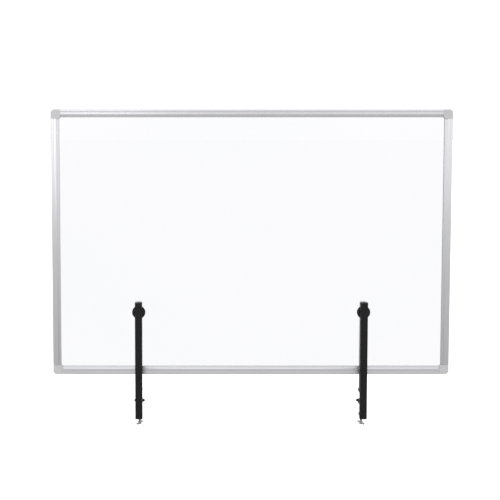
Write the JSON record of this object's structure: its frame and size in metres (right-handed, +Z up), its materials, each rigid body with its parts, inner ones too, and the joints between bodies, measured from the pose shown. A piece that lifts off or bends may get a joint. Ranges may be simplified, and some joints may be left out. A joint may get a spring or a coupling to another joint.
{
  "type": "desk privacy panel",
  "caption": "Framed clear glass privacy panel held over a desk edge by black clamp legs, each with a screw clamp below and a thumb knob that grips the glass behind.",
  "frame": {"origin": "middle of the desk's edge, at the level of the desk's top surface", "axes": "+Z up, +Y over the desk, -Y towards the viewer of the panel's front, +X to that viewer's right"},
  "size_m": [0.9, 0.061, 0.7211],
  "materials": {
    "clear_glass": "clear polished tempered glass",
    "anodised_aluminium": "satin clear anodised",
    "glazing_rubber": "matt grey gasket",
    "corner_plastic": "fine-grained grey moulding",
    "zinc_screws": "bright zinc plated",
    "black_steel": "fine-textured black powder coat",
    "black_plastic": "matt black moulding",
    "black_rubber": "matt black rubber",
    "black_screws": "black oxide",
    "zinc_steel": "zinc plated, slightly brushed",
    "nylon": "natural nylon"
  },
  "bodies": {
    "left_leg": {"left_front_upright": "black_steel", "left_top_end_cap": "black_plastic", "left_bottom_end_cap": "black_plastic", "left_upper_jaw": "black_steel", "left_upper_jaw_pad": "black_rubber", "left_rear_upright": "black_steel", "left_foot_screws": "black_screws", "left_lower_jaw": "black_steel", "left_glass_pad_cup": "black_plastic", "left_glass_pad_rubber": "black_rubber", "left_glass_pad_screw": "zinc_steel", "left_knob_nut": "zinc_steel"},
    "right_leg": {"right_front_upright": "black_steel", "right_top_end_cap": "black_plastic", "right_bottom_end_cap": "black_plastic", "right_upper_jaw": "black_steel", "right_upper_jaw_pad": "black_rubber", "right_rear_upright": "black_steel", "right_foot_screws": "black_screws", "right_lower_jaw": "black_steel", "right_glass_pad_cup": "black_plastic", "right_glass_pad_rubber": "black_rubber", "right_glass_pad_screw": "zinc_steel", "right_knob_nut": "zinc_steel"},
    "panel": {"glass_pane": "clear_glass", "bottom_rail": "anodised_aluminium", "bottom_gasket": "glazing_rubber", "top_rail": "anodised_aluminium", "top_gasket": "glazing_rubber", "left_rail": "anodised_aluminium", "left_gasket": "glazing_rubber", "right_rail": "anodised_aluminium", "right_gasket": "glazing_rubber", "corner_cap_bottom_left": "corner_plastic", "corner_cap_bottom_right": "corner_plastic", "corner_cap_top_left": "corner_plastic", "corner_cap_top_right": "corner_plastic", "corner_screws": "zinc_screws"},
    "left_pressure_pad": {"left_pressure_pad_cup": "black_plastic", "left_pressure_pad_rubber": "black_rubber"},
    "left_knob": {"left_knob": "black_plastic", "left_knob_screw": "zinc_steel"},
    "left_socket_ball": {"left_socket_ball": "nylon"},
    "left_swivel_pad": {"left_swivel_pad": "black_steel", "left_swivel_pad_rubber": "black_rubber"},
    "left_clamp_screw": {"left_clamp_screw": "zinc_steel"},
    "left_tommy_bar": {"left_tommy_bar": "zinc_steel"},
    "right_pressure_pad": {"right_pressure_pad_cup": "black_plastic", "right_pressure_pad_rubber": "black_rubber"},
    "right_knob": {"right_knob": "black_plastic", "right_knob_screw": "zinc_steel"},
    "right_socket_ball": {"right_socket_ball": "nylon"},
    "right_swivel_pad": {"right_swivel_pad": "black_steel", "right_swivel_pad_rubber": "black_rubber"},
    "right_clamp_screw": {"right_clamp_screw": "zinc_steel"},
    "right_tommy_bar": {"right_tommy_bar": "zinc_steel"}
  },
  "joints": [
    {"name": "right_leg_slide", "type": "slide", "parent": "left_leg", "child": "right_leg", "axis": [1, 0, 0], "range_m": [-0.2, 0.15]},
    {"name": "panel_height", "type": "slide", "parent": "left_leg", "child": "panel", "axis": [0, 0, 1], "range_m": [-0.041, 0.108]},
    {"name": "left_knob_travel", "type": "slide", "parent": "left_leg", "child": "left_pressure_pad", "axis": [0, 1, 0], "range_m": [0, 0.0019]},
    {"name": "left_knob_turn", "type": "hinge", "parent": "left_pressure_pad", "child": "left_knob", "pos_m": [-0.255, 0.029, 0.188], "axis": [0, 1, 0], "range_deg": [0, 860]},
    {"name": "left_clamp_travel", "type": "slide", "parent": "left_leg", "child": "left_socket_ball", "axis": [0, 0, 1], "range_m": [-0.0185, 0.013]},
    {"name": "left_clamp_turn", "type": "hinge", "parent": "left_socket_ball", "child": "left_clamp_screw", "pos_m": [-0.255, 0.028, -0.052], "axis": [0, 0, 1], "range_deg": [-6661, 4681]},
    {"name": "left_pad_tilt", "type": "hinge", "parent": "left_socket_ball", "child": "left_swivel_pad", "pos_m": [-0.255, 0.028, -0.0243], "axis": [1, 0, 0], "range_deg": [-6, 6]},
    {"name": "left_bar_slide", "type": "slide", "parent": "left_clamp_screw", "child": "left_tommy_bar", "axis": [-0.309, -0.9511, 0], "range_m": [-0.009, 0.009]},
    {"name": "right_knob_travel", "type": "slide", "parent": "right_leg", "child": "right_pressure_pad", "axis": [0, 1, 0], "range_m": [0, 0.0019]},
    {"name": "right_knob_turn", "type": "hinge", "parent": "right_pressure_pad", "child": "right_knob", "pos_m": [0.255, 0.029, 0.188], "axis": [0, 1, 0], "range_deg": [0, 860]},
    {"name": "right_clamp_travel", "type": "slide", "parent": "right_leg", "child": "right_socket_ball", "axis": [0, 0, 1], "range_m": [-0.0185, 0.013]},
    {"name": "right_clamp_turn", "type": "hinge", "parent": "right_socket_ball", "child": "right_clamp_screw", "pos_m": [0.255, 0.028, -0.052], "axis": [0, 0, 1], "range_deg": [-6661, 4681]},
    {"name": "right_pad_tilt", "type": "hinge", "parent": "right_socket_ball", "child": "right_swivel_pad", "pos_m": [0.255, 0.028, -0.0243], "axis": [1, 0, 0], "range_deg": [-6, 6]},
    {"name": "right_bar_slide", "type": "slide", "parent": "right_clamp_screw", "child": "right_tommy_bar", "axis": [0.309, -0.9511, 0], "range_m": [-0.009, 0.009]}
  ],
  "couplings": [
    {"joint": "left_knob_turn", "follows": "left_knob_travel", "rad_per_m": 7854},
    {"joint": "left_clamp_turn", "follows": "left_clamp_travel", "rad_per_m": 6283.2},
    {"joint": "right_knob_turn", "follows": "right_knob_travel", "rad_per_m": 7854},
    {"joint": "right_clamp_turn", "follows": "right_clamp_travel", "rad_per_m": 6283.2}
  ]
}
